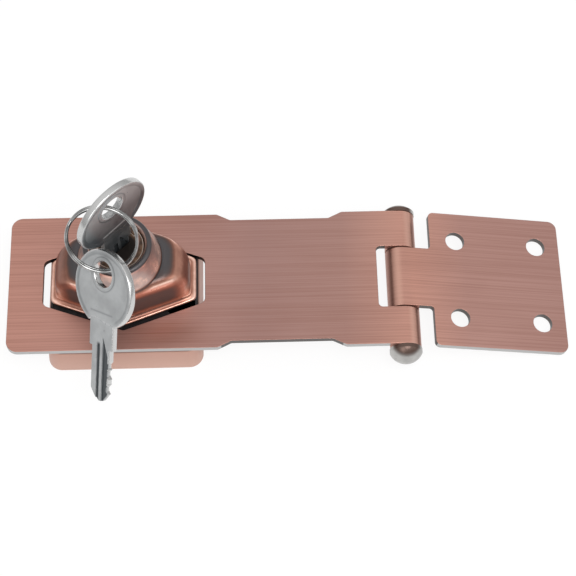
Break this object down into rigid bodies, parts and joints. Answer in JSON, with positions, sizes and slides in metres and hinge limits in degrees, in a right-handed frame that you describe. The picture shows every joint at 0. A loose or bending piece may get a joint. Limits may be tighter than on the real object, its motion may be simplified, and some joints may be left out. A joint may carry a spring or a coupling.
{
  "type": "keyed hasp latch",
  "caption": "Slotted sheet hasp hinged to a drilled leaf, held over a square lock base by a turning six-sided keyed knob, with key, split ring and spare key.",
  "frame": {"origin": "centre of the lock base's mounting face, on the knob's axis", "axes": "+Z out of the door along the knob's axis, +X along the arm towards the hinge, +Y across the arm"},
  "size_m": [0.127, 0.0502, 0.0499],
  "materials": {
    "copper_sheet": "brushed copper plate on steel",
    "copper_cast": "antique copper with dark patina",
    "copper_base": "satin copper",
    "nickel": "satin nickel",
    "steel": "plain steel",
    "bright_wire": "bright nickel",
    "brass": "plain brass"
  },
  "bodies": {
    "base": {"lock_base": "copper_base", "stop_pin": "steel", "hasp_arm": "copper_sheet", "hinge_pin": "nickel"},
    "leaf": {"hinge_leaf": "copper_sheet"},
    "knob": {"turn_knob": "copper_cast", "thrust_washer": "steel", "spring_washer": "steel", "spindle_clip": "steel", "spindle_cover": "steel"},
    "plug": {"lock_plug": "brass", "wafer_1": "brass", "wafer_2": "brass", "wafer_3": "brass", "wafer_4": "brass", "wafer_5": "brass", "plug_clip": "steel", "plug_cam": "steel", "cam_screw": "steel"},
    "bolt": {"side_bolt": "steel"},
    "key": {"lock_key": "nickel"},
    "ring": {"split_ring": "bright_wire"},
    "spare": {"spare_key": "nickel"}
  },
  "joints": [
    {"name": "hasp_hinge", "type": "hinge", "parent": "base", "child": "leaf", "pos_m": [0.0634, 0, 0.00555], "axis": [0, 1, 0], "range_deg": [-120, 160]},
    {"name": "knob_turn", "type": "hinge", "parent": "base", "child": "knob", "pos_m": [0, 0, 0.0095], "axis": [0, 0, 1], "range_deg": [0, 90]},
    {"name": "plug_turn", "type": "hinge", "parent": "knob", "child": "plug", "pos_m": [0, 0, 0.02], "axis": [0, 0, 1], "range_deg": [0, 45]},
    {"name": "bolt_slide", "type": "slide", "parent": "knob", "child": "bolt", "axis": [1, 0, 0], "range_m": [0, 0.00225]},
    {"name": "key_withdraw", "type": "slide", "parent": "plug", "child": "key", "axis": [0, 0, 1], "range_m": [0, 0.013]},
    {"name": "ring_swing", "type": "hinge", "parent": "key", "child": "ring", "pos_m": [0, 0, 0.0441], "axis": [-1, 0, 0], "range_deg": [0, 10]},
    {"name": "spare_swing", "type": "hinge", "parent": "ring", "child": "spare", "pos_m": [-0.0025, -0.0088, 0.0319], "axis": [-1, 0, 0], "range_deg": [0, 15]}
  ],
  "couplings": [
    {"joint": "bolt_slide", "follows": "plug_turn", "m_per_rad": 0.002826}
  ]
}
